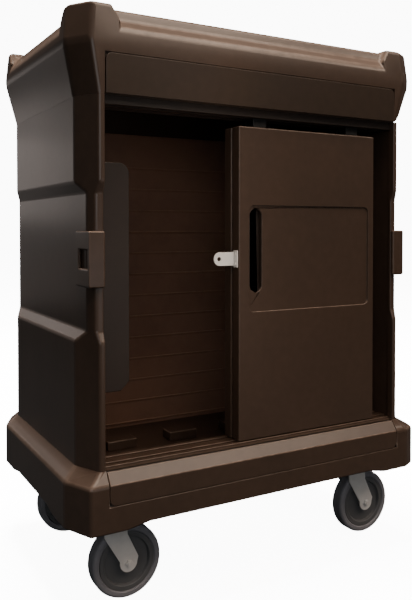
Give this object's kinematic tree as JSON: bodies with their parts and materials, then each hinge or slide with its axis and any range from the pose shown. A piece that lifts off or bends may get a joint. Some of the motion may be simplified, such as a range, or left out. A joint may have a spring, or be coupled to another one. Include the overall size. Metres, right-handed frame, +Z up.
{
  "type": "enclosed housekeeping cart",
  "caption": "Enclosed moulded cart on swivel casters, with sliding doors, a flared plinth and crown, corner lugs and a hasp.",
  "frame": {"origin": "on the floor under the middle of the cart's footprint", "axes": "+X to the right seen from the front, +Y to the back, +Z up; the doors face -Y"},
  "size_m": [1.238, 0.834, 1.69],
  "materials": {
    "moulded_shell": "satin",
    "moulded_inner": "satin",
    "liner": "satin",
    "glide": "matt",
    "hasp_steel": "satin",
    "zinc_steel": "zinc plated",
    "wheel_core": "satin",
    "tyre": "matt"
  },
  "bodies": {
    "cabinet": {"base": "moulded_shell", "left_wall": "moulded_shell", "right_wall": "moulded_shell", "back_wall": "moulded_shell", "crown": "moulded_shell", "header_panel": "moulded_shell", "sill_panel": "moulded_shell", "left_lug": "moulded_shell", "right_lug": "moulded_shell", "rib_liner": "liner", "left_guard": "moulded_inner", "right_guard": "moulded_inner", "floor_blocks": "moulded_inner", "lower_track": "moulded_inner", "upper_track": "moulded_inner", "fl_plate": "zinc_steel", "fl_bolts": "zinc_steel", "fl_kingpin": "zinc_steel", "fr_plate": "zinc_steel", "fr_bolts": "zinc_steel", "fr_kingpin": "zinc_steel", "rl_plate": "zinc_steel", "rl_bolts": "zinc_steel", "rl_kingpin": "zinc_steel", "rr_plate": "zinc_steel", "rr_bolts": "zinc_steel", "rr_kingpin": "zinc_steel"},
    "right_door": {"right_door": "moulded_shell", "right_grip": "moulded_inner", "right_top_glides": "glide", "right_low_glides": "glide", "hasp": "hasp_steel", "hasp_screws": "zinc_steel"},
    "left_door": {"left_door": "moulded_shell", "left_grip": "moulded_inner", "left_top_glides": "glide", "left_low_glides": "glide"},
    "fl_swivel": {"fl_fork": "zinc_steel", "fl_axle": "zinc_steel"},
    "fl_wheel": {"fl_core": "wheel_core", "fl_tyre": "tyre"},
    "fr_swivel": {"fr_fork": "zinc_steel", "fr_axle": "zinc_steel"},
    "fr_wheel": {"fr_core": "wheel_core", "fr_tyre": "tyre"},
    "rl_swivel": {"rl_fork": "zinc_steel", "rl_axle": "zinc_steel"},
    "rl_wheel": {"rl_core": "wheel_core", "rl_tyre": "tyre"},
    "rr_swivel": {"rr_fork": "zinc_steel", "rr_axle": "zinc_steel"},
    "rr_wheel": {"rr_core": "wheel_core", "rr_tyre": "tyre"}
  },
  "joints": [
    {"name": "right_door_slide", "type": "slide", "parent": "cabinet", "child": "right_door", "axis": [1, 0, 0], "range_m": [-0.378, 0.074]},
    {"name": "left_door_slide", "type": "slide", "parent": "cabinet", "child": "left_door", "axis": [1, 0, 0], "range_m": [-0.446, 0.074]},
    {"name": "fl_swivel_turn", "type": "hinge", "parent": "cabinet", "child": "fl_swivel", "pos_m": [-0.456, -0.259, 0.22], "axis": [0, 0, 1], "continuous": true},
    {"name": "fl_wheel_spin", "type": "hinge", "parent": "fl_swivel", "child": "fl_wheel", "pos_m": [-0.415, -0.259, 0.108], "axis": [0, 1, 0], "continuous": true},
    {"name": "fr_swivel_turn", "type": "hinge", "parent": "cabinet", "child": "fr_swivel", "pos_m": [0.456, -0.259, 0.22], "axis": [0, 0, 1], "continuous": true},
    {"name": "fr_wheel_spin", "type": "hinge", "parent": "fr_swivel", "child": "fr_wheel", "pos_m": [0.497, -0.259, 0.108], "axis": [0, 1, 0], "continuous": true},
    {"name": "rl_swivel_turn", "type": "hinge", "parent": "cabinet", "child": "rl_swivel", "pos_m": [-0.456, 0.259, 0.22], "axis": [0, 0, 1], "continuous": true},
    {"name": "rl_wheel_spin", "type": "hinge", "parent": "rl_swivel", "child": "rl_wheel", "pos_m": [-0.415, 0.259, 0.108], "axis": [0, 1, 0], "continuous": true},
    {"name": "rr_swivel_turn", "type": "hinge", "parent": "cabinet", "child": "rr_swivel", "pos_m": [0.456, 0.259, 0.22], "axis": [0, 0, 1], "continuous": true},
    {"name": "rr_wheel_spin", "type": "hinge", "parent": "rr_swivel", "child": "rr_wheel", "pos_m": [0.497, 0.259, 0.108], "axis": [0, 1, 0], "continuous": true}
  ]
}
